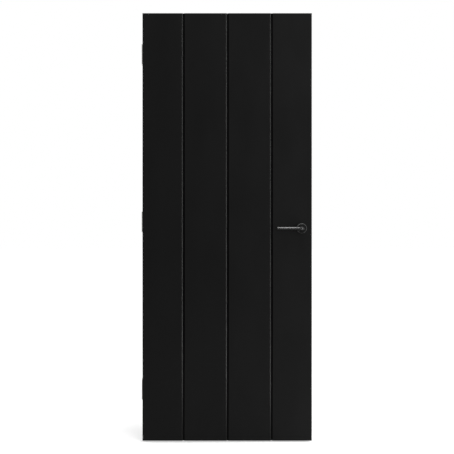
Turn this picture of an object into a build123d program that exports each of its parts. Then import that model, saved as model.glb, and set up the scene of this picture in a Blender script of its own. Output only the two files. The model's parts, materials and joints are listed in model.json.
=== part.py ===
from build123d import *
import os

# Interior door: grooved leaf, lever handle set, flush latch and three butt hinges.
# X runs from the hinge edge to the lock edge, Y from the front face to the back face, Z up.
# The origin lies on the jamb side of the bottom hinge, at half its height and half the leaf's thickness.

# Leaf
leaf_width = 838
leaf_height = 2115
leaf_thickness = 40
facing_thickness = 8
stile_width = 36
top_rail_height = 40
bottom_rail_height = 70
edge_arris = 1.2

# Vertical grooves, alike on both facings
groove_count = 3
groove_pitch = 218
groove_offset = 1.5
groove_width = 14
groove_depth = 5.8
groove_root = 1
groove_arris = 0.8

# Butt hinges
hinge_height = 100
hinge_reach = 37.5
hinge_plate = 2.5
hinge_gap = 2.5
hinge_corner = 8
bottom_hinge_height = 250
top_hinge_drop = 200
pin_diameter = 6
knuckle_wall = 2.5
knuckle_chamfer = 0.4
pin_face_clearance = 1
button_diameter = 9
button_height = 2.4
button_chamfer = 0.8
bearing_height = 3
hinge_screw_hole = 4.6
hinge_screw_head = 8.4
outer_screw_setback = 13.5
outer_screw_spacing = 74
inner_screw_setback = 25
inner_screw_spacing = 30

# Angle of all countersinks
countersink_angle = 90

# Lever handles and roses
handle_height = 1050
backset = 50
bar_diameter = 20
lever_length = 135
lever_standoff = 55
lever_bend_radius = 14
lever_end_radius = 1.5
rose_diameter = 50
rose_height = 8
rose_wall = 1.4
rose_rim_radius = 3
spindle_square = 8
socket_depth = 26
grub_hole_diameter = 5
grub_hole_setback = 15
spindle_hole_diameter = 18

# Latch in the lock edge
forend_width = 20
forend_height = 160
forend_thickness = 3
forend_screw_spacing = 130
forend_screw_hole = 4.2
forend_screw_head = 7.6
case_thickness = 14
case_height = 110
case_depth = 72
follower_hole_diameter = 13
bolt_thickness = 11
bolt_height = 30
bolt_depth = 20
bolt_chamfer = 1

# Block that backs the latch inside the leaf
lock_block_width = 110
lock_block_height = 320

# Clearances
knuckle_gap = 0.3
pin_fit = 0.05
pin_clearance = 0.2
knuckle_clearance = 0.4
pocket_clearance = 0.2
rose_clearance = 0.2
neck_clearance = 0.4
neck_end_gap = 1
socket_clearance = 0.1
spindle_end_gap = 0.5
bolt_clearance = 0.3
mortise_clearance = 0.3

# Places that several pieces share
hinge_edge = hinge_plate + hinge_gap
lock_edge = hinge_edge + leaf_width
leaf_centre = (hinge_edge + lock_edge) / 2
leaf_back = leaf_thickness / 2
leaf_front = -leaf_back
leaf_bottom = -bottom_hinge_height
leaf_top = leaf_bottom + leaf_height
core_thickness = leaf_thickness - 2 * facing_thickness

knuckle_radius = pin_diameter / 2 + knuckle_wall
pin_x = hinge_plate + hinge_gap / 2
pin_y = leaf_back + knuckle_radius + pin_face_clearance
top_hinge = leaf_top - top_hinge_drop
hinge_levels = {"bottom": 0, "middle": top_hinge / 2, "top": top_hinge}

spindle_x = lock_edge - backset
spindle_z = leaf_bottom + handle_height

os.makedirs("parts", exist_ok=True)


# Writes a finished piece to its own file
def save(piece, label):
    piece.label = label
    export_step(piece, f"parts/{label}.step")


# Outline of a hinge leaf from its rounded free corners to a given distance short of the pin
def hinge_outline(plane, short_of_pin, margin):
    length = hinge_reach - short_of_pin + margin
    with BuildSketch(plane) as outline:
        with Locations((-hinge_reach - margin, 0)):
            Rectangle(length, hinge_height + 2 * margin, align=(Align.MIN, Align.CENTER))
        fillet(outline.vertices().group_by(Axis.X)[0], hinge_corner + margin)
    return outline.sketch


# Recesses that sink the door-side hinge leaves flush into the hinge edge
with BuildPart() as hinge_recesses:
    for level in hinge_levels.values():
        recess_plane = Plane(origin=(hinge_edge, pin_y, level), x_dir=(0, 1, 0), z_dir=(1, 0, 0))
        extrude(hinge_outline(recess_plane, 0, pocket_clearance), amount=hinge_plate)

# Round hole across the leaf for the spindle
with BuildPart() as spindle_hole:
    with BuildSketch(Plane(origin=(spindle_x, 0, spindle_z), z_dir=(0, 1, 0))):
        Circle(spindle_hole_diameter / 2)
    extrude(amount=leaf_back, both=True)

# Mortise in the lock edge: a shallow slot for the forend and a deep pocket for the case
lock_edge_plane = Plane(origin=(lock_edge, 0, spindle_z), x_dir=(0, 1, 0), z_dir=(1, 0, 0))
with BuildPart() as latch_mortise:
    with BuildSketch(lock_edge_plane):
        SlotOverall(forend_height + 2 * pocket_clearance, forend_width + 2 * pocket_clearance, rotation=90)
    extrude(amount=-forend_thickness)
    with BuildSketch(lock_edge_plane):
        Rectangle(case_thickness + 2 * mortise_clearance, case_height + 2 * mortise_clearance)
    extrude(amount=-forend_thickness - case_depth - mortise_clearance)

# Stiles
with BuildPart() as hinge_stile:
    with BuildSketch(Plane.XY.offset(leaf_bottom)):
        with Locations((hinge_edge, 0)):
            Rectangle(stile_width, core_thickness, align=(Align.MIN, Align.CENTER))
    extrude(amount=leaf_height)
    add(hinge_recesses.part, mode=Mode.SUBTRACT)
save(hinge_stile.part, "hinge_stile")

with BuildPart() as lock_stile:
    with BuildSketch(Plane.XY.offset(leaf_bottom)):
        with Locations((lock_edge, 0)):
            Rectangle(stile_width, core_thickness, align=(Align.MAX, Align.CENTER))
    extrude(amount=leaf_height)
    add(latch_mortise.part, mode=Mode.SUBTRACT)
    add(spindle_hole.part, mode=Mode.SUBTRACT)
save(lock_stile.part, "lock_stile")

# Rails between the stiles
rail_length = leaf_width - 2 * stile_width
with BuildPart() as top_rail:
    with BuildSketch(Plane.XY.offset(leaf_top)):
        with Locations((leaf_centre, 0)):
            Rectangle(rail_length, core_thickness)
    extrude(amount=-top_rail_height)
save(top_rail.part, "top_rail")

with BuildPart() as bottom_rail:
    with BuildSketch(Plane.XY.offset(leaf_bottom)):
        with Locations((leaf_centre, 0)):
            Rectangle(rail_length, core_thickness)
    extrude(amount=bottom_rail_height)
save(bottom_rail.part, "bottom_rail")

# Block beside the lock stile that takes the latch case and the spindle hole
with BuildPart() as lock_block:
    with BuildSketch(Plane.XZ):
        with Locations((lock_edge - stile_width, spindle_z)):
            Rectangle(lock_block_width, lock_block_height, align=(Align.MAX, Align.CENTER))
    extrude(amount=core_thickness / 2, both=True)
    add(latch_mortise.part, mode=Mode.SUBTRACT)
    add(spindle_hole.part, mode=Mode.SUBTRACT)
save(lock_block.part, "lock_block")

# Light core panel that fills the frame around the lock block
with BuildPart() as core_panel:
    with BuildSketch(Plane.XZ):
        with Locations((leaf_centre, leaf_bottom + bottom_rail_height)):
            Rectangle(
                rail_length,
                leaf_height - top_rail_height - bottom_rail_height,
                align=(Align.CENTER, Align.MIN),
            )
        with Locations((lock_edge - stile_width, spindle_z)):
            Rectangle(
                lock_block_width,
                lock_block_height,
                align=(Align.MAX, Align.CENTER),
                mode=Mode.SUBTRACT,
            )
    extrude(amount=core_thickness / 2, both=True)
save(core_panel.part, "core_panel")

# Section of the front facing: a flat board with rounded outer arrises and flat-bottomed V-grooves
first_groove = leaf_centre + groove_offset - groove_pitch * (groove_count - 1) / 2
groove_centres = [first_groove + index * groove_pitch for index in range(groove_count)]
with BuildSketch(Plane.XY.offset(leaf_bottom)) as facing_section:
    with Locations((leaf_centre, leaf_front)):
        Rectangle(leaf_width, facing_thickness, align=(Align.CENTER, Align.MIN))
    fillet(facing_section.vertices().group_by(Axis.Y)[0], edge_arris)
    for centre in groove_centres:
        with BuildLine():
            Polyline(
                (centre - groove_width / 2, leaf_front),
                (centre - groove_root / 2, leaf_front + groove_depth),
                (centre + groove_root / 2, leaf_front + groove_depth),
                (centre + groove_width / 2, leaf_front),
                close=True,
            )
        make_face(mode=Mode.SUBTRACT)
    groove_mouths = facing_section.vertices().group_by(Axis.Y)[0].sort_by(Axis.X)[1:-1]
    fillet(groove_mouths, groove_arris)

with BuildPart() as front_facing:
    extrude(facing_section.sketch, amount=leaf_height)
    add(spindle_hole.part, mode=Mode.SUBTRACT)
save(front_facing.part, "front_facing")

with BuildPart() as back_facing:
    extrude(mirror(facing_section.sketch, about=Plane.XZ, mode=Mode.PRIVATE), amount=leaf_height)
    add(hinge_recesses.part, mode=Mode.SUBTRACT)
    add(spindle_hole.part, mode=Mode.SUBTRACT)
save(back_facing.part, "back_facing")

# Latch: the forend is flush with the lock edge and the bolt is flush with the forend
with BuildPart() as latch_forend:
    with BuildSketch(lock_edge_plane):
        SlotOverall(forend_height, forend_width, rotation=90)
        Rectangle(
            bolt_thickness + 2 * bolt_clearance,
            bolt_height + 2 * bolt_clearance,
            mode=Mode.SUBTRACT,
        )
    extrude(amount=-forend_thickness)
    with Locations(lock_edge_plane):
        with GridLocations(0, forend_screw_spacing, 1, 2):
            CounterSinkHole(
                forend_screw_hole / 2,
                forend_screw_head / 2,
                depth=forend_thickness,
                counter_sink_angle=countersink_angle,
            )
save(latch_forend.part, "latch_forend")

with BuildPart() as latch_bolt:
    with BuildSketch(lock_edge_plane):
        Rectangle(bolt_thickness, bolt_height)
    extrude(amount=-bolt_depth)
    chamfer(latch_bolt.faces().sort_by(Axis.X)[-1].edges(), bolt_chamfer)
save(latch_bolt.part, "latch_bolt")

with BuildPart() as latch_case:
    with BuildSketch(lock_edge_plane.offset(-forend_thickness)):
        Rectangle(case_thickness, case_height)
    extrude(amount=-case_depth)
    with BuildSketch(lock_edge_plane):
        Rectangle(bolt_thickness + 2 * bolt_clearance, bolt_height + 2 * bolt_clearance)
    extrude(amount=-bolt_depth, mode=Mode.SUBTRACT)
    with BuildSketch(Plane(origin=(spindle_x, 0, spindle_z), z_dir=(0, 1, 0))):
        Circle(follower_hole_diameter / 2)
    extrude(amount=case_thickness / 2, both=True, mode=Mode.SUBTRACT)
save(latch_case.part, "latch_case")

# Square spindle that joins the two levers
spindle_half = leaf_back + neck_end_gap + socket_depth - spindle_end_gap
with BuildPart() as spindle:
    with BuildSketch(Plane(origin=(spindle_x, 0, spindle_z), x_dir=(1, 0, 0), z_dir=(0, 1, 0))):
        Rectangle(spindle_square, spindle_square)
    extrude(amount=spindle_half, both=True)
save(spindle.part, "spindle")

# Rose base, rose cover and lever of each face, all on the spindle axis
bar_radius = bar_diameter / 2
for side, face_y, outwards in (("front", leaf_front, -1), ("back", leaf_back, 1)):
    face = Plane(origin=(spindle_x, face_y, spindle_z), x_dir=(-1, 0, 0), z_dir=(0, outwards, 0))

    with BuildPart() as rose_base:
        with BuildSketch(face):
            Circle(rose_diameter / 2 - rose_wall - rose_clearance)
            Circle(bar_radius + neck_clearance, mode=Mode.SUBTRACT)
        extrude(amount=rose_height - rose_wall - rose_clearance)
    save(rose_base.part, f"{side}_rose_base")

    with BuildPart() as rose:
        with BuildSketch(face):
            Circle(rose_diameter / 2)
        extrude(amount=rose_height)
        rim = rose.edges().filter_by(GeomType.CIRCLE).sort_by(Axis.Y, reverse=outwards > 0)[0]
        fillet(rim, rose_rim_radius)
        with BuildSketch(face):
            Circle(rose_diameter / 2 - rose_wall)
        extrude(amount=rose_height - rose_wall, mode=Mode.SUBTRACT)
        with BuildSketch(face):
            Circle(bar_radius + neck_clearance)
        extrude(amount=rose_height, mode=Mode.SUBTRACT)
    save(rose.part, f"{side}_rose")

    # Round bar in one piece: a neck along the spindle, an elbow and a grip towards the hinges
    with BuildPart() as lever:
        with BuildLine(Plane(origin=face.origin, x_dir=face.x_dir, z_dir=-face.y_dir)) as bar_path:
            FilletPolyline(
                (0, neck_end_gap),
                (0, lever_standoff),
                (lever_length - bar_radius, lever_standoff),
                radius=lever_bend_radius,
            )
        with BuildSketch(face.offset(neck_end_gap)):
            Circle(bar_radius)
        sweep(path=bar_path.wire())
        fillet(lever.edges().filter_by(GeomType.CIRCLE).sort_by(Axis.X)[0], lever_end_radius)
        with BuildSketch(face.offset(neck_end_gap)):
            Rectangle(spindle_square + 2 * socket_clearance, spindle_square + 2 * socket_clearance)
        extrude(amount=socket_depth, mode=Mode.SUBTRACT)
        with BuildSketch(Plane(face.offset(grub_hole_setback).origin, x_dir=face.x_dir, z_dir=(0, 0, -1))):
            Circle(grub_hole_diameter / 2)
        extrude(amount=bar_diameter, mode=Mode.SUBTRACT)
    save(lever.part, f"{side}_lever")

# Five knuckles share the height of a hinge: the frame leaf has the first, third and fifth
bearing_room = bearing_height + 2 * knuckle_gap
knuckle_length = (hinge_height - 2 * bearing_room - 2 * knuckle_gap) / 5
knuckle_floors = [-hinge_height / 2]
for room in (bearing_room, knuckle_gap, knuckle_gap, bearing_room):
    knuckle_floors.append(knuckle_floors[-1] + knuckle_length + room)
bearing_floors = {
    "lower": knuckle_floors[0] + knuckle_length + knuckle_gap,
    "upper": knuckle_floors[3] + knuckle_length + knuckle_gap,
}
knuckle_root = knuckle_radius + knuckle_clearance

for name, level in hinge_levels.items():
    # Frame and door leaf: a countersunk plate whose knuckles wrap the pin
    for owner, plate_x, gap_face_x, gap_side, floors, bore in (
        ("frame", 0, hinge_plate, 1, knuckle_floors[0::2], pin_diameter / 2 + pin_fit),
        ("door", hinge_edge, hinge_edge, -1, knuckle_floors[1::2], pin_diameter / 2 + pin_clearance),
    ):
        plate_plane = Plane(origin=(plate_x, pin_y, level), x_dir=(0, 1, 0), z_dir=(1, 0, 0))
        with BuildPart() as hinge_leaf:
            for floor in floors:
                with BuildSketch(Plane((pin_x, pin_y, level + floor))):
                    Circle(knuckle_radius)
                extrude(amount=knuckle_length)
            chamfer(hinge_leaf.edges().filter_by(GeomType.CIRCLE), knuckle_chamfer)
            extrude(hinge_outline(plate_plane, knuckle_root, 0), amount=hinge_plate)
            with BuildSketch(plate_plane):
                with Locations(*[(-knuckle_root, floor) for floor in floors]):
                    Rectangle(knuckle_root, knuckle_length, align=(Align.MIN, Align.MIN))
            extrude(amount=hinge_plate)
            with BuildSketch(Plane((pin_x, pin_y, level - hinge_height / 2))):
                Circle(bore)
            extrude(amount=hinge_height, mode=Mode.SUBTRACT)
            gap_face = Plane(origin=(gap_face_x, pin_y, level), x_dir=(0, 1, 0), z_dir=(gap_side, 0, 0))
            for setback, spacing in (
                (outer_screw_setback, outer_screw_spacing),
                (inner_screw_setback, inner_screw_spacing),
            ):
                with Locations(gap_face):
                    with Locations((-setback, -spacing / 2), (-setback, spacing / 2)):
                        CounterSinkHole(
                            hinge_screw_hole / 2,
                            hinge_screw_head / 2,
                            depth=hinge_plate,
                            counter_sink_angle=countersink_angle,
                        )
        save(hinge_leaf.part, f"{name}_hinge_{owner}_leaf")

    # Pin with a chamfered button at each end
    with BuildPart() as hinge_pin:
        with BuildSketch(Plane((pin_x, pin_y, level))):
            Circle(pin_diameter / 2)
        extrude(amount=hinge_height / 2, both=True)
        for end in (-1, 1):
            with BuildSketch(Plane(origin=(pin_x, pin_y, level + end * hinge_height / 2), z_dir=(0, 0, end))):
                Circle(button_diameter / 2)
            extrude(amount=button_height)
        tips = hinge_pin.edges().filter_by(GeomType.CIRCLE).group_by(Axis.Z)
        chamfer([tips[0][0], tips[-1][0]], button_chamfer)
    save(hinge_pin.part, f"{name}_hinge_pin")

    # Bearing rings between the knuckles
    for place, floor in bearing_floors.items():
        with BuildPart() as bearing:
            with BuildSketch(Plane((pin_x, pin_y, level + floor))):
                Circle(knuckle_radius)
                Circle(pin_diameter / 2 + pin_fit, mode=Mode.SUBTRACT)
            extrude(amount=bearing_height)
        save(bearing.part, f"{name}_hinge_{place}_bearing")
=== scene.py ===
import json
import math

import bpy
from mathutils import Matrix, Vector


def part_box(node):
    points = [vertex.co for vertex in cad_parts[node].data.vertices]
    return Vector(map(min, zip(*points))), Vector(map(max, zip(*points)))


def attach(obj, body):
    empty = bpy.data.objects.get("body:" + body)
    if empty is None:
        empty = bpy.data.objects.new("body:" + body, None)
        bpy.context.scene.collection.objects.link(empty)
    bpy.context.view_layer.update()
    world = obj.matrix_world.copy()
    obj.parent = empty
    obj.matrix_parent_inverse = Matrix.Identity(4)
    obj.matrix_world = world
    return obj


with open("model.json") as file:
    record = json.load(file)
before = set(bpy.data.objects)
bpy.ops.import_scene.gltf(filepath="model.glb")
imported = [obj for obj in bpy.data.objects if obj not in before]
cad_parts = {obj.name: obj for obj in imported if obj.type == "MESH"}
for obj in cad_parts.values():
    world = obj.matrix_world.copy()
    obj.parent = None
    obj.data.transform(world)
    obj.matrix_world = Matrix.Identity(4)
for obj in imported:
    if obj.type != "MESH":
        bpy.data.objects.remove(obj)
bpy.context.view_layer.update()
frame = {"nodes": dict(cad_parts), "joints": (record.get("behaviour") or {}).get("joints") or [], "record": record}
nodes = frame["nodes"]

MM = 0.001

# Edges of the leaf, whose middle plane is Y = 0
leaf_low, leaf_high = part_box("front_facing")
HINGE_EDGE = leaf_low.x
LOCK_EDGE = leaf_high.x
LEAF_FRONT = leaf_low.y
LEAF_BOTTOM = leaf_low.z

# Axes of the hinge pins and of the spindle, and the middle height of each hinge
joint_places = {joint["name"]: joint["pos_m"] for joint in frame["joints"]}
PIN_Y = joint_places["door_swing"][1]
SPINDLE_X = joint_places["lever_turn"][0]
SPINDLE_Z = joint_places["lever_turn"][2]
HINGE_LEVELS = []
for hinge in ("bottom", "middle", "top"):
    pin_low, pin_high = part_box(f"{hinge}_hinge_pin")
    HINGE_LEVELS.append((pin_low.z + pin_high.z) / 2)

# Outer and inner pair of screws in a hinge: setback from the pin, and spacing
HINGE_SCREW_PAIRS = ((13.5 * MM, 74 * MM), (25 * MM, 30 * MM))
FOREND_SCREW_SPACING = 130 * MM

# How far a countersunk head lies below the plate's face
SCREW_DROP = 0.15 * MM

# Grub screws: distance from the leaf's middle plane, and depth below the spindle's axis
GRUB_SETBACK = 35 * MM
GRUB_DEPTH = 9 * MM

# Painted highlight on the rim of a rose, from where it starts to where it is full: distance from the
# spindle's axis, and distance from the leaf's middle plane
RIM_HIGHLIGHT_RADIUS_START = 21.5 * MM
RIM_HIGHLIGHT_RADIUS_FULL = 24 * MM
RIM_HIGHLIGHT_RISE_START = 24.5 * MM
RIM_HIGHLIGHT_RISE_FULL = 26 * MM

# The part of a 0 to 1 pattern that is spread over a finish's whole range
PATTERN_LOW = 0.35
PATTERN_HIGH = 0.65


# Turns an sRGB hex colour into the linear values that sockets take
def linear(hex_colour):
    channels = []
    for start in (1, 3, 5):
        value = int(hex_colour[start:start + 2], 16) / 255
        channels.append(value / 12.92 if value <= 0.04045 else ((value + 0.055) / 1.055) ** 2.4)
    return (*channels, 1.0)


# Adds a node, sets its properties, and fills its sockets with values or links
def add(tree, kind, inputs=None, **settings):
    node = tree.nodes.new(kind)
    for name, value in settings.items():
        setattr(node, name, value)
    for name, value in (inputs or {}).items():
        if isinstance(value, bpy.types.NodeSocket):
            tree.links.new(value, node.inputs[name])
        else:
            node.inputs[name].default_value = value
    return node


# Starts a material with one shader whose even values sit on its own sockets
def start_material(name, **shader_values):
    material = bpy.data.materials.new(name)
    material.use_nodes = True
    tree = material.node_tree
    tree.nodes.clear()
    shader = add(tree, "ShaderNodeBsdfPrincipled", {
        key.replace("_", " "): value for key, value in shader_values.items()
    })
    add(tree, "ShaderNodeOutputMaterial", {"Surface": shader.outputs["BSDF"]})
    place = add(tree, "ShaderNodeTexCoord").outputs["Object"]
    return material, tree, shader, place


# Noise whose grain has the given size in millimetres along X, Y and Z
def grain(tree, place, size_mm, detail):
    stretched = add(tree, "ShaderNodeMapping", {
        "Vector": place,
        "Scale": [1 / (size * MM) for size in size_mm],
    })
    return add(tree, "ShaderNodeTexNoise", {
        "Vector": stretched.outputs["Vector"],
        "Scale": 1.0,
        "Detail": detail,
    }).outputs["Fac"]


# Drives a shader by patterns: its colour from dark to light, its roughness from low to high, and
# its relief by a height in millimetres and a strength
def dress(tree, shader, colour, roughness=None, relief=None):
    pattern, dark, light = colour
    ramp = add(tree, "ShaderNodeValToRGB", {"Fac": pattern})
    ends = ramp.color_ramp.elements
    ends[0].position = PATTERN_LOW
    ends[0].color = linear(dark)
    ends[1].position = PATTERN_HIGH
    ends[1].color = linear(light)
    tree.links.new(ramp.outputs["Color"], shader.inputs["Base Color"])
    if roughness:
        pattern, low, high = roughness
        spread = add(tree, "ShaderNodeMapRange", {
            "Value": pattern,
            "From Min": PATTERN_LOW,
            "From Max": PATTERN_HIGH,
            "To Min": low,
            "To Max": high,
        })
        tree.links.new(spread.outputs["Result"], shader.inputs["Roughness"])
    if relief:
        pattern, height_mm, strength = relief
        bump = add(tree, "ShaderNodeBump", {
            "Height": pattern,
            "Distance": height_mm * MM,
            "Strength": strength,
        })
        tree.links.new(bump.outputs["Normal"], shader.inputs["Normal"])


# Satin lacquer sprayed on fibreboard: an even, deep black with a faint cloudiness from the
# spray passes and an orange peel of about 2 mm, drawn at 7 mm so that it shows
LACQUER_GLOSS = 0.065
facing_paint, tree, shader, place = start_material(
    "satin_lacquer_on_fibreboard", Specular_IOR_Level=LACQUER_GLOSS
)
passes = grain(tree, place, (160, 160, 420), 2)
peel = grain(tree, place, (7, 7, 7), 1)
dress(
    tree, shader,
    colour=(passes, "#0a0a0a", "#0c0c0c"),
    roughness=(passes, 0.3, 0.36),
    relief=(peel, 0.03, 0.1),
)

# Satin lacquer on planed softwood: the same black, with the grain lines of the wood standing
# through it along the length of each edge
edge_paint = {}
for member, fibre_mm in (("stile", (3, 3, 180)), ("rail", (180, 3, 3))):
    edge_paint[member], tree, shader, place = start_material(
        f"satin_lacquer_on_softwood_{member}", Specular_IOR_Level=LACQUER_GLOSS
    )
    fibres = grain(tree, place, fibre_mm, 3)
    dress(
        tree, shader,
        colour=(fibres, "#0a0a0a", "#0e0e0e"),
        roughness=(fibres, 0.4, 0.5),
        relief=(fibres, 0.12, 0.35),
    )

# Planed softwood: warm pale brown with darker growth rings along the block
softwood, tree, shader, place = start_material("planed_softwood", Roughness=0.7)
rings = grain(tree, place, (9, 5, 220), 3)
dress(tree, shader, colour=(rings, "#b5874f", "#d9b480"), relief=(rings, 0.15, 0.3))

# Kraft paper honeycomb: brown cells of about 20 mm with paler cut edges
CELL_MM = 20
honeycomb, tree, shader, place = start_material("kraft_paper_honeycomb", Roughness=0.85)
cells = add(tree, "ShaderNodeTexVoronoi", {
    "Vector": place,
    "Scale": 1 / (CELL_MM * MM),
}, feature="DISTANCE_TO_EDGE").outputs["Distance"]
dress(tree, shader, colour=(cells, "#c9a574", "#8a6a43"), relief=(cells, 2, 0.5))

# Powder coat on a cast zinc handle: satin black with a clear line of light along the bar
# and a fine pebble of about 0.8 mm, drawn at 1.6 mm so that it shows
COAT_GLOSS = 0.12
COAT_ROUGHNESS = (0.18, 0.24)
COAT_RELIEF = (0.04, 0.08)
PEBBLE_MM = (1.6, 1.6, 1.6)
powder_coat, tree, shader, place = start_material(
    "satin_black_powder_coat", Specular_IOR_Level=COAT_GLOSS
)
pebble = grain(tree, place, PEBBLE_MM, 2)
clouds = grain(tree, place, (30, 30, 30), 2)
dress(
    tree, shader,
    colour=(clouds, "#060606", "#080808"),
    roughness=(pebble, *COAT_ROUGHNESS),
    relief=(pebble, *COAT_RELIEF),
)

# The same coat on a rose, with a lighter grey ring painted on its rounded rim: a painted highlight
# that stands in for the light the rim catches
rose_coat_with_painted_highlight, tree, shader, place = start_material(
    "satin_black_powder_coat_on_rose", Specular_IOR_Level=COAT_GLOSS
)
pebble = grain(tree, place, PEBBLE_MM, 2)
around = add(tree, "ShaderNodeVectorMath", {
    0: place,
    1: (SPINDLE_X, 0.0, SPINDLE_Z),
}, operation="SUBTRACT")
axes = add(tree, "ShaderNodeSeparateXYZ", {"Vector": around.outputs["Vector"]}).outputs
flat = add(tree, "ShaderNodeCombineXYZ", {"X": axes["X"], "Z": axes["Z"]})
from_axis = add(tree, "ShaderNodeVectorMath", {0: flat.outputs["Vector"]}, operation="LENGTH")
from_leaf = add(tree, "ShaderNodeMath", {0: axes["Y"]}, operation="ABSOLUTE")
highlight_across_rim = add(tree, "ShaderNodeMapRange", {
    "Value": from_axis.outputs["Value"],
    "From Min": RIM_HIGHLIGHT_RADIUS_START,
    "From Max": RIM_HIGHLIGHT_RADIUS_FULL,
})
highlight_up_rim = add(tree, "ShaderNodeMapRange", {
    "Value": from_leaf.outputs[0],
    "From Min": RIM_HIGHLIGHT_RISE_START,
    "From Max": RIM_HIGHLIGHT_RISE_FULL,
})
painted_rim_highlight = add(tree, "ShaderNodeMath", {
    0: highlight_across_rim.outputs["Result"],
    1: highlight_up_rim.outputs["Result"],
}, operation="MULTIPLY")
# Lighter grey on the rim: a painted highlight
dress(
    tree, shader,
    colour=(painted_rim_highlight.outputs[0], "#060606", "#3c3c3c"),
    roughness=(pebble, *COAT_ROUGHNESS),
    relief=(pebble, *COAT_RELIEF),
)

# Moulded nylon: matte black with a fine spark-eroded grain
nylon, tree, shader, place = start_material("moulded_black_nylon", Specular_IOR_Level=0.3)
spark = grain(tree, place, (1.2, 1.2, 1.2), 3)
dress(
    tree, shader,
    colour=(spark, "#151515", "#1c1c1c"),
    roughness=(spark, 0.55, 0.7),
    relief=(spark, 0.05, 0.3),
)

# Satin stainless steel: brushed along the height, so it shows fine upright streaks; real
# lines of 0.1 mm are drawn at 0.7 mm so that they show
satin_steel, tree, shader, place = start_material("satin_stainless_steel", Metallic=1.0)
brush = grain(tree, place, (0.7, 0.7, 70), 3)
dress(
    tree, shader,
    colour=(brush, "#b4b3b0", "#cccbc8"),
    roughness=(brush, 0.26, 0.4),
    relief=(brush, 0.02, 0.15),
)

# Turned steel: bearing rings with fine tool lines round them, 0.2 mm drawn at 0.5 mm
turned_steel, tree, shader, place = start_material("turned_bearing_steel", Metallic=1.0)
tool_lines = grain(tree, place, (40, 40, 0.5), 2)
dress(
    tree, shader,
    colour=(tool_lines, "#8f9194", "#b9bbbd"),
    roughness=(tool_lines, 0.2, 0.34),
)

# Zinc plated steel: cool grey with a soft cloudiness from the plating bath
zinc_steel, tree, shader, place = start_material("zinc_plated_steel", Metallic=1.0)
bath = grain(tree, place, (6, 6, 6), 3)
dress(tree, shader, colour=(bath, "#a3a9b0", "#bcc1c6"), roughness=(bath, 0.34, 0.48))

# Blackened steel: a dark oxide skin on the grub screws that still glints like metal
blackened_steel, tree, shader, place = start_material("black_oxide_steel", Metallic=1.0)
oxide = grain(tree, place, (1.5, 1.5, 1.5), 2)
dress(tree, shader, colour=(oxide, "#2b2b2d", "#3a3a3c"), roughness=(oxide, 0.35, 0.5))

# Each CAD piece takes the material of its slot; rails have their own variant of it, and roses one with a painted
# rim highlight
SLOT_MATERIALS = {
    "facing_paint": facing_paint,
    "edge_paint": edge_paint["stile"],
    "softwood": softwood,
    "honeycomb_core": honeycomb,
    "handle_black": powder_coat,
    "rose_base_plastic": nylon,
    "satin_steel": satin_steel,
    "bearing_steel": turned_steel,
    "zinc_steel": zinc_steel,
}
for row in frame["record"]["subparts"]:
    mesh = nodes[row["node"]].data
    mesh.materials.clear()
    mesh.materials.append(SLOT_MATERIALS[row["material_slot"]])
for rail in ("top_rail", "bottom_rail"):
    nodes[rail].data.materials[0] = edge_paint["rail"]
for rose in ("front_rose", "back_rose"):
    nodes[rose].data.materials[0] = rose_coat_with_painted_highlight


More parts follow.
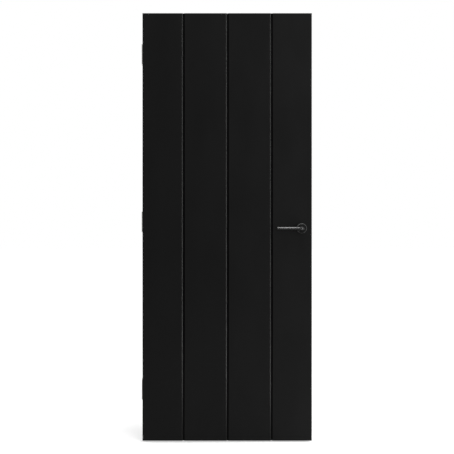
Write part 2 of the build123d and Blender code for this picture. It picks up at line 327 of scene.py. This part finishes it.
# Node tree that sets a screw with a cross or hexagon recess on every point it is given
def build_screw_tree(name, recess):
    tree = bpy.data.node_groups.new(name, "GeometryNodeTree")
    sockets = tree.interface
    sockets.new_socket("Points", in_out="INPUT", socket_type="NodeSocketGeometry")
    sizes = ["Head Radius", "Neck Radius", "Head Height", "Recess Length", "Recess Depth"]
    if recess == "cross":
        sizes.append("Recess Width")
    for size in sizes:
        sockets.new_socket(size, in_out="INPUT", socket_type="NodeSocketFloat")
    sockets.new_socket("Facing", in_out="INPUT", socket_type="NodeSocketVector")
    sockets.new_socket("Seed", in_out="INPUT", socket_type="NodeSocketInt")
    sockets.new_socket("Finish", in_out="INPUT", socket_type="NodeSocketMaterial")
    sockets.new_socket("Screws", in_out="OUTPUT", socket_type="NodeSocketGeometry")
    given = add(tree, "NodeGroupInput").outputs

    # Head, lowered so that its top lies on the point
    head = add(tree, "GeometryNodeMeshCone", {
        "Vertices": 40,
        "Radius Top": given["Head Radius"],
        "Radius Bottom": given["Neck Radius"],
        "Depth": given["Head Height"],
    })
    drop = add(tree, "ShaderNodeMath", {0: given["Head Height"], 1: -1.0}, operation="MULTIPLY")
    lowering = add(tree, "ShaderNodeCombineXYZ", {"Z": drop.outputs[0]})
    seated = add(tree, "GeometryNodeTransform", {
        "Geometry": head.outputs["Mesh"],
        "Translation": lowering.outputs["Vector"],
    })

    # Recess for the driver, cut by bodies twice its depth that are centred on the head's top
    through = add(tree, "ShaderNodeMath", {
        0: given["Recess Depth"],
        1: 2.0,
    }, operation="MULTIPLY")
    cut = add(tree, "GeometryNodeMeshBoolean", {
        "Mesh 1": seated.outputs["Geometry"],
    }, operation="DIFFERENCE")
    if recess == "cross":
        for along, across in (("X", "Y"), ("Y", "X")):
            arm = add(tree, "ShaderNodeCombineXYZ", {
                along: given["Recess Length"],
                across: given["Recess Width"],
                "Z": through.outputs[0],
            })
            slot = add(tree, "GeometryNodeMeshCube", {"Size": arm.outputs["Vector"]})
            tree.links.new(slot.outputs["Mesh"], cut.inputs["Mesh 2"])
    else:
        half = add(tree, "ShaderNodeMath", {
            0: given["Recess Length"],
            1: 0.5,
        }, operation="MULTIPLY")
        hexagon = add(tree, "GeometryNodeMeshCylinder", {
            "Vertices": 6,
            "Radius": half.outputs[0],
            "Depth": through.outputs[0],
        })
        tree.links.new(hexagon.outputs["Mesh"], cut.inputs["Mesh 2"])

    # One screw on each point, turned by chance about its own axis
    spin = add(tree, "FunctionNodeRandomValue", {"Seed": given["Seed"]}, data_type="FLOAT")
    chance = next(out for out in spin.outputs if out.enabled)
    angle = add(tree, "ShaderNodeMath", {0: chance, 1: math.pi}, operation="MULTIPLY")
    turn = add(tree, "ShaderNodeCombineXYZ", {"Z": angle.outputs[0]})
    turned = add(tree, "FunctionNodeEulerToRotation", {"Euler": turn.outputs["Vector"]})
    aimed = add(tree, "FunctionNodeAlignRotationToVector", {
        "Rotation": turned.outputs["Rotation"],
        "Vector": given["Facing"],
    }, axis="Z")
    placed = add(tree, "GeometryNodeInstanceOnPoints", {
        "Points": given["Points"],
        "Instance": cut.outputs["Mesh"],
        "Rotation": aimed.outputs["Rotation"],
    })
    real = add(tree, "GeometryNodeRealizeInstances", {"Geometry": placed.outputs["Instances"]})
    painted = add(tree, "GeometryNodeSetMaterial", {
        "Geometry": real.outputs["Geometry"],
        "Material": given["Finish"],
    })
    add(tree, "NodeGroupOutput", {"Screws": painted.outputs["Geometry"]})
    return tree


# Runs a node tree on a set of points and keeps the result as a plain mesh
def set_screws(name, tree, points, body, slot, **sizes):
    mesh = bpy.data.meshes.new(name)
    mesh.from_pydata(points, [], [])
    piece = bpy.data.objects.new(name, mesh)
    bpy.context.scene.collection.objects.link(piece)
    modifier = piece.modifiers.new("screws", "NODES")
    modifier.node_group = tree
    for socket in tree.interface.items_tree:
        key = socket.name.replace(" ", "_").lower()
        if socket.in_out == "INPUT" and key in sizes:
            modifier[socket.identifier] = sizes[key]
    bpy.context.view_layer.update()
    evaluated = piece.evaluated_get(bpy.context.evaluated_depsgraph_get())
    made = bpy.data.meshes.new_from_object(evaluated)
    piece.modifiers.clear()
    piece.data = made
    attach(piece, body)
    return piece


# Screws that hold the hinges to the leaf and the forend to the lock edge
screw_tree = build_screw_tree("countersunk_cross_screws", "cross")
hinge_screw_points = []
for level in HINGE_LEVELS:
    for setback, spacing in HINGE_SCREW_PAIRS:
        for side in (-0.5, 0.5):
            hinge_screw_points.append(
                (HINGE_EDGE + SCREW_DROP, PIN_Y - setback, level + side * spacing)
            )
hinge_screws = set_screws(
    "hinge_screws", screw_tree, hinge_screw_points, "door_leaf", "satin_steel",
    head_radius=4.0 * MM, neck_radius=2.25 * MM, head_height=1.75 * MM,
    recess_length=4.2 * MM, recess_width=0.9 * MM, recess_depth=1.2 * MM,
    facing=(-1.0, 0.0, 0.0), seed=3, finish=satin_steel,
)
forend_screw_points = [
    (LOCK_EDGE - SCREW_DROP, 0.0, SPINDLE_Z + side * FOREND_SCREW_SPACING) for side in (-0.5, 0.5)
]
forend_screws = set_screws(
    "forend_screws", screw_tree, forend_screw_points, "door_leaf", "satin_steel",
    head_radius=3.6 * MM, neck_radius=2.05 * MM, head_height=1.55 * MM,
    recess_length=3.8 * MM, recess_width=0.85 * MM, recess_depth=1.1 * MM,
    facing=(1.0, 0.0, 0.0), seed=5, finish=satin_steel,
)

# Grub screws under the necks that hold the levers on the spindle
grub_tree = build_screw_tree("socket_grub_screws", "hexagon")
grub_points = [(SPINDLE_X, side * GRUB_SETBACK, SPINDLE_Z - GRUB_DEPTH) for side in (-1, 1)]
set_screws(
    "grub_screws", grub_tree, grub_points, "handle", "handle_black",
    head_radius=2.45 * MM, neck_radius=2.45 * MM, head_height=4.5 * MM,
    recess_length=2.9 * MM, recess_depth=2.2 * MM,
    facing=(0.0, 0.0, -1.0), seed=7, finish=blackened_steel,
)


# Amount of light that only the eye, metal and glass see
def seen_directly(tree, shaded, bright):
    path = add(tree, "ShaderNodeLightPath").outputs
    seen = add(tree, "ShaderNodeMath", {
        0: path["Is Camera Ray"],
        1: path["Is Glossy Ray"],
    }, operation="MAXIMUM")
    seen = add(tree, "ShaderNodeMath", {
        0: seen.outputs[0],
        1: path["Is Transmission Ray"],
    }, operation="MAXIMUM")
    spread = add(tree, "ShaderNodeMapRange", {
        "Value": seen.outputs[0],
        "To Min": shaded,
        "To Max": bright,
    })
    return spread.outputs["Result"]


# Flat rectangle for the stage, with its corners given in order
def stage_sheet(name, corners, material):
    mesh = bpy.data.meshes.new(name)
    mesh.from_pydata(corners, [], [tuple(range(len(corners)))])
    mesh.materials.append(material)
    sheet = bpy.data.objects.new(name, mesh)
    bpy.context.scene.collection.objects.link(sheet)
    return sheet


# Pale studio floor just below the leaf: near the foot the lamps make it white and it keeps the
# leaf's shadow, and further off, where their light thins out, a glow keeps it white
FLOOR_GAP = 8 * MM
FLOOR_LEVEL = LEAF_BOTTOM - FLOOR_GAP
FLOOR_REACH = 40.0
FOOT = (0.42, 0.0, FLOOR_LEVEL)
GLOW_START = 0.4
GLOW_END = 2.0
GLOW_AT_START = 0.5
GLOW_AT_END = 0.84
floor_material = bpy.data.materials.new("white_studio_floor")
floor_material.use_nodes = True
tree = floor_material.node_tree
tree.nodes.clear()
diffuse = add(tree, "ShaderNodeBsdfDiffuse", {"Color": linear("#b0b0b0")})
spot = add(tree, "ShaderNodeTexCoord").outputs["Object"]
away = add(tree, "ShaderNodeVectorMath", {0: spot, 1: FOOT}, operation="DISTANCE")
rise = add(tree, "ShaderNodeMapRange", {
    "Value": away.outputs["Value"],
    "From Min": GLOW_START,
    "From Max": GLOW_END,
    "To Min": GLOW_AT_START,
    "To Max": GLOW_AT_END,
}, interpolation_type="SMOOTHSTEP")
glow = add(tree, "ShaderNodeEmission", {
    "Strength": seen_directly(tree, 0.0, rise.outputs["Result"]),
})
both = add(tree, "ShaderNodeAddShader", {
    0: diffuse.outputs["BSDF"],
    1: glow.outputs["Emission"],
})
add(tree, "ShaderNodeOutputMaterial", {"Surface": both.outputs["Shader"]})
stage_sheet("studio_floor", [
    (-FLOOR_REACH, -FLOOR_REACH, FLOOR_LEVEL),
    (FLOOR_REACH, -FLOOR_REACH, FLOOR_LEVEL),
    (FLOOR_REACH, FLOOR_REACH, FLOOR_LEVEL),
    (-FLOOR_REACH, FLOOR_REACH, FLOOR_LEVEL),
], floor_material)

# Dark flag at the left, out of the picture, whose reflection keeps the right slopes of the
# grooves dark; it takes no light from the floor
FLAG_X = -1.15
FLAG_NEAR = -1.9
FLAG_FAR = -0.02
FLAG_TOP = 2.3
flag_material, tree, shader, place = start_material(
    "black_flag_cloth", Roughness=1.0, Specular_IOR_Level=0.0
)
nap = grain(tree, place, (20, 20, 20), 2)
dress(tree, shader, colour=(nap, "#050505", "#070707"))
flag = stage_sheet("black_flag", [
    (FLAG_X, FLAG_NEAR, FLOOR_LEVEL),
    (FLAG_X, FLAG_FAR, FLOOR_LEVEL),
    (FLAG_X, FLAG_FAR, FLAG_TOP),
    (FLAG_X, FLAG_NEAR, FLAG_TOP),
], flag_material)
flag.visible_camera = False
flag.visible_diffuse = False
flag.visible_shadow = False

# White surroundings for the eye, for metal and for glass, and a dimmer even light for the rest
EVEN_LIGHT = 0.5
WHITE = 1.0
world = bpy.data.worlds.new("white_studio")
bpy.context.scene.world = world
world.use_nodes = True
tree = world.node_tree
tree.nodes.clear()
sky = add(tree, "ShaderNodeBackground", {
    "Color": linear("#ffffff"),
    "Strength": seen_directly(tree, EVEN_LIGHT, WHITE),
})
add(tree, "ShaderNodeOutputWorld", {"Surface": sky.outputs["Background"]})


# Rectangular soft lamp that faces a point, with its size in metres and its power in watts
def soft_lamp(name, place, target, width, height, power):
    lamp = bpy.data.lights.new(name, "AREA")
    lamp.shape = "RECTANGLE"
    lamp.size = width
    lamp.size_y = height
    lamp.energy = power
    holder = bpy.data.objects.new(name, lamp)
    holder.location = place
    holder.rotation_euler = (Vector(target) - Vector(place)).to_track_quat("-Z", "Y").to_euler()
    holder.visible_camera = False
    bpy.context.scene.collection.objects.link(holder)
    return holder


# A tall strip at the right lights the left slopes of the front grooves, with a short one by the
# floor for their lower ends; one at the left does the same at the back, and a strip overhead
# lights the leaf and the floor
right_strip = soft_lamp(
    "right_strip", place=(1.62, -0.31, 1.17), target=(0.4, -0.31, 1.17),
    width=0.28, height=2.84, power=58,
)
foot_strip = soft_lamp(
    "foot_strip", place=(1.62, -0.31, -0.1), target=(0.4, -0.31, -0.1),
    width=0.28, height=0.3, power=7,
)
left_strip = soft_lamp(
    "left_strip", place=(-1.9, 0.46, 1.17), target=(0.45, 0.46, 1.17),
    width=0.54, height=2.84, power=70,
)
soft_lamp(
    "overhead_strip", place=(0.8, -1.65, 4.2), target=(0.75, -0.1, 0.8),
    width=0.7, height=2.2, power=95,
)

# A small strip before each face draws the line of light along its lever, on the handles alone
handles = bpy.data.collections.new("handles_lit_by_strips")
for piece in ("front_lever", "back_lever", "front_rose", "back_rose"):
    handles.objects.link(nodes[piece])
for face, side in (("front", -1), ("back", 1)):
    strip = soft_lamp(
        f"{face}_lever_strip", place=(0.95, side * 2.37, 2.73), target=(0.73, side * 0.08, 0.8),
        width=0.45, height=0.9, power=138,
    )
    strip.light_linking.receiver_collection = handles

# The steel fittings, the rims of the roses and the back lever would be bleached by the side
# strips, so they are shaded from that light
shaded = bpy.data.collections.new("pieces_shaded_from_side_strips")
for row in frame["record"]["subparts"]:
    if row["material_slot"].endswith("_steel"):
        shaded.objects.link(nodes[row["node"]])
for piece in ("front_rose", "back_rose", "back_lever"):
    shaded.objects.link(nodes[piece])
shaded.objects.link(hinge_screws)
shaded.objects.link(forend_screws)
for member in shaded.collection_objects:
    member.light_linking.link_state = "EXCLUDE"
for strip in (right_strip, foot_strip, left_strip):
    strip.light_linking.receiver_collection = shaded

# Camera square on to the front face, at the photograph's distance, width and centre
CAMERA_DISTANCE = 4.6
PICTURE_WIDTH = 2.246
PICTURE_CENTRE_X = 423.26 * MM
PICTURE_CENTRE_Z = 807.25 * MM
camera = bpy.data.cameras.new("photo_camera")
camera.sensor_width = 36.0
camera.lens = camera.sensor_width * CAMERA_DISTANCE / PICTURE_WIDTH
camera.clip_end = 100.0
camera_holder = bpy.data.objects.new("photo_camera", camera)
camera_holder.location = (PICTURE_CENTRE_X, LEAF_FRONT - CAMERA_DISTANCE, PICTURE_CENTRE_Z)
camera_holder.rotation_euler = (math.pi / 2, 0.0, 0.0)
bpy.context.scene.collection.objects.link(camera_holder)
bpy.context.scene.camera = camera_holder
bpy.context.scene.view_settings.view_transform = "Standard"
